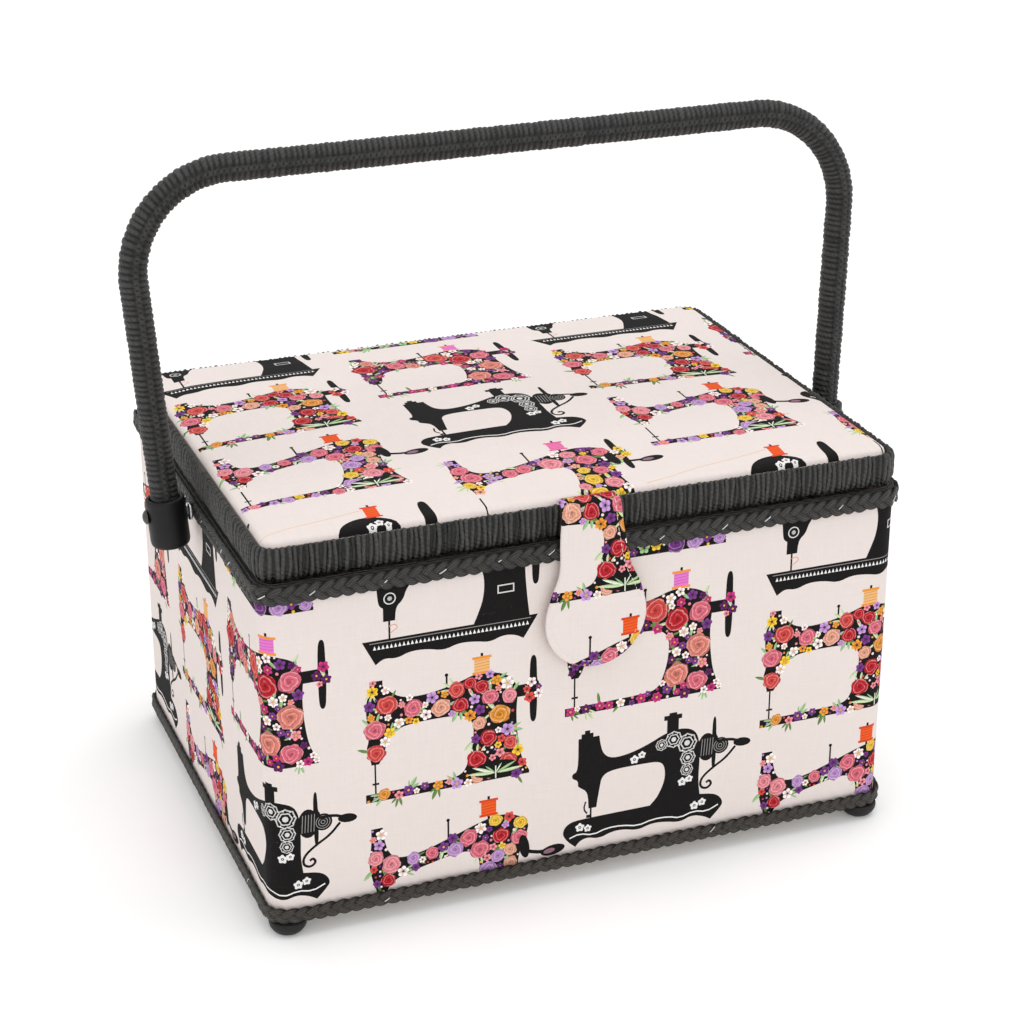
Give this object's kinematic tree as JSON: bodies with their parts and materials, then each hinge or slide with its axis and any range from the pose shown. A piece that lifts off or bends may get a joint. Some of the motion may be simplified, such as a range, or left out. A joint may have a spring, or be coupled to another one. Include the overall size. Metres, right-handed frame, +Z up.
{
  "type": "sewing box",
  "caption": "Fabric-covered sewing box with a padded hinged lid, cord-wrapped swing handle, snap flap, feet and lift-out compartment trays.",
  "frame": {"origin": "on the floor under the middle of the box", "axes": "+X to the box's right seen from the front, +Y to the rear where the lid is hinged, +Z up"},
  "size_m": [0.366, 0.2452, 0.3354],
  "materials": {
    "printed_fabric": "plain-weave cotton, printed",
    "black_cord": "twisted paper cord, wound or braided",
    "black_plastic": "moulded, satin black",
    "board": "grey-brown hardboard",
    "lining_fabric": "satin lining",
    "foam": "soft padding",
    "steel": "nickel-plated",
    "tray_plastic": "moulded, satin",
    "velvet": "short pile",
    "ledge_wood": "bare, sanded"
  },
  "bodies": {
    "body": {"base_board": "board", "wall_board": "board", "outer_cover": "printed_fabric", "lining_wall": "lining_fabric", "base_pad": "lining_fabric", "bottom_trim": "black_cord", "top_trim": "black_cord", "catch_plate": "steel", "tray_ledge_front": "ledge_wood", "tray_ledge_rear": "ledge_wood", "foot_front_left": "black_plastic", "foot_front_right": "black_plastic", "foot_rear_left": "black_plastic", "foot_rear_right": "black_plastic", "foot_screw_front_left": "steel", "foot_screw_front_right": "steel", "foot_screw_rear_left": "steel", "foot_screw_rear_right": "steel", "pivot_rivet_left": "steel", "pivot_rivet_right": "steel", "pivot_spacer_left": "steel", "pivot_spacer_right": "steel", "pivot_washer_left": "steel", "pivot_washer_right": "steel", "hinge_left_box_leaf": "steel", "hinge_left_pin": "steel", "hinge_right_box_leaf": "steel", "hinge_right_pin": "steel"},
    "lid": {"lid_rim": "black_cord", "lid_board": "board", "lid_lining": "lining_fabric", "lid_foam": "foam", "lid_cover": "printed_fabric", "lid_pocket": "lining_fabric", "pincushion": "velvet", "hinge_left_lid_leaf": "steel", "hinge_right_lid_leaf": "steel"},
    "flap": {"front_flap": "printed_fabric", "flap_magnet": "steel"},
    "handle": {"handle_wrap": "black_cord", "handle_core": "steel", "handle_cap_left": "black_plastic", "handle_cap_right": "black_plastic"},
    "tray_left": {"tray_left": "tray_plastic"},
    "tray_right": {"tray_right": "tray_plastic"}
  },
  "joints": [
    {"name": "lid_hinge", "type": "hinge", "parent": "body", "child": "lid", "pos_m": [0, 0.1213, 0.1776], "axis": [-1, 0, 0], "range_deg": [0, 92]},
    {"name": "flap_hinge", "type": "hinge", "parent": "lid", "child": "flap", "pos_m": [0, -0.1124, 0.1954], "axis": [-1, 0, 0], "range_deg": [0, 120]},
    {"name": "handle_pivot", "type": "hinge", "parent": "body", "child": "handle", "pos_m": [0, -0.0108, 0.171], "axis": [-1, 0, 0], "range_deg": [0, 112.3]},
    {"name": "tray_left_lift", "type": "slide", "parent": "body", "child": "tray_left", "axis": [0, 0, 1], "range_m": [0, 0.0579]},
    {"name": "tray_right_lift", "type": "slide", "parent": "body", "child": "tray_right", "axis": [0, 0, 1], "range_m": [0, 0.0579]}
  ],
  "couplings": [
    {"joint": "handle_pivot", "follows": "lid_hinge", "ratio": 1.22},
    {"joint": "tray_left_lift", "follows": "lid_hinge", "m_per_rad": 0.036},
    {"joint": "tray_right_lift", "follows": "lid_hinge", "m_per_rad": 0.036}
  ]
}
